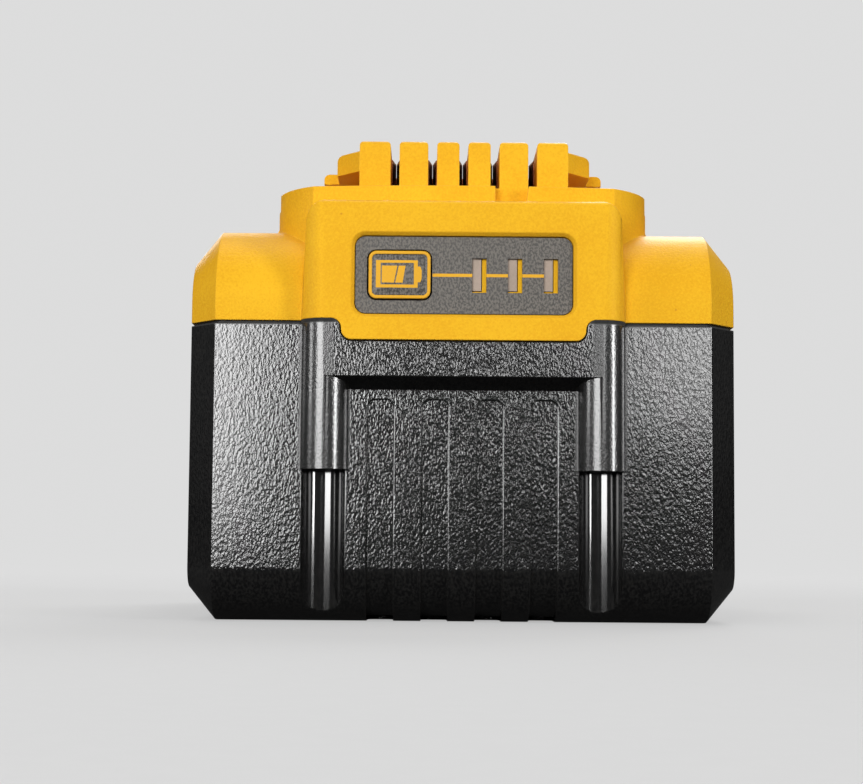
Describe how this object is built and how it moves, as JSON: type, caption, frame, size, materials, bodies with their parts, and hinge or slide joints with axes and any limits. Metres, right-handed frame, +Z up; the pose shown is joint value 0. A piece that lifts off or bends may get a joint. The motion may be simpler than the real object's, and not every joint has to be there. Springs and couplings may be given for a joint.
{
  "type": "power tool battery pack",
  "caption": "Slide-on battery pack for cordless tools: a black tub under a yellow cover with slide rails, terminal fins, a charge gauge with its key, and a sprung release latch.",
  "frame": {"origin": "on the resting face, under the middle of the pack", "axes": "+Z up, -Y towards the gauge end, +X to the right of someone who faces the gauge"},
  "size_m": [0.076, 0.114, 0.0674],
  "materials": {
    "case_black": "moulded black plastic with a coarse spark grain",
    "shell_yellow": "moulded yellow plastic with a fine satin grain",
    "latch_black": "moulded black plastic, fine grain",
    "screw_steel": "dark zinc-plated steel",
    "spring_steel": "drawn spring wire",
    "holder_grey": "moulded grey plastic",
    "cell_wrap": "shrink wrap over a steel can",
    "strip_nickel": "nickel strip",
    "sheet_white": "thin insulating sheet",
    "tray_black": "moulded black plastic",
    "board_green": "circuit board with solder mask",
    "parts_black": "moulded component bodies",
    "contact_copper": "bare copper alloy sheet",
    "overlay_grey": "printed overlay with a fine grain",
    "key_grey": "printed key cap with a fine grain",
    "guide_frosted": "frosted clear plastic, unlit",
    "led_white": "light-emitting diode lens",
    "switch_steel": "pressed steel switch frame"
  },
  "bodies": {
    "pack": {"lower_case": "case_black", "upper_cover": "shell_yellow", "latch_spring_left": "spring_steel", "latch_spring_right": "spring_steel", "case_screws": "screw_steel", "cell_holder_left": "holder_grey", "cell_holder_right": "holder_grey", "cell_01": "cell_wrap", "cell_02": "cell_wrap", "cell_03": "cell_wrap", "cell_04": "cell_wrap", "cell_05": "cell_wrap", "cell_06": "cell_wrap", "cell_07": "cell_wrap", "cell_08": "cell_wrap", "cell_09": "cell_wrap", "cell_10": "cell_wrap", "strip_left_front": "strip_nickel", "strip_left_middle": "strip_nickel", "strip_left_rear": "strip_nickel", "strip_right_front": "strip_nickel", "strip_right_middle": "strip_nickel", "strip_right_rear": "strip_nickel", "insulator_left": "sheet_white", "insulator_right": "sheet_white", "board_tray": "tray_black", "main_board": "board_green", "board_parts": "parts_black", "board_screws": "screw_steel", "terminal_base": "tray_black", "contact_1": "contact_copper", "contact_2": "contact_copper", "contact_3": "contact_copper", "contact_4": "contact_copper", "contact_5": "contact_copper", "thermistor": "parts_black", "gauge_overlay": "overlay_grey", "gauge_windows": "guide_frosted", "gauge_board": "board_green", "gauge_leds": "led_white", "gauge_switch": "switch_steel", "gauge_header": "parts_black"},
    "latch": {"release_latch": "latch_black"},
    "gauge_key": {"gauge_button": "key_grey", "switch_plunger": "parts_black"}
  },
  "joints": [
    {"name": "latch_slide", "type": "slide", "parent": "pack", "child": "latch", "axis": [0, 0, -1], "range_m": [0, 0.0046], "stiffness_N_per_m": 2000, "springref_m": -0.003, "deforming": ["latch_spring_left", "latch_spring_right"]},
    {"name": "key_press", "type": "slide", "parent": "pack", "child": "gauge_key", "axis": [0, 1, 0], "range_m": [0, 0.00035], "stiffness_N_per_m": 4000, "springref_m": -0.0001}
  ]
}
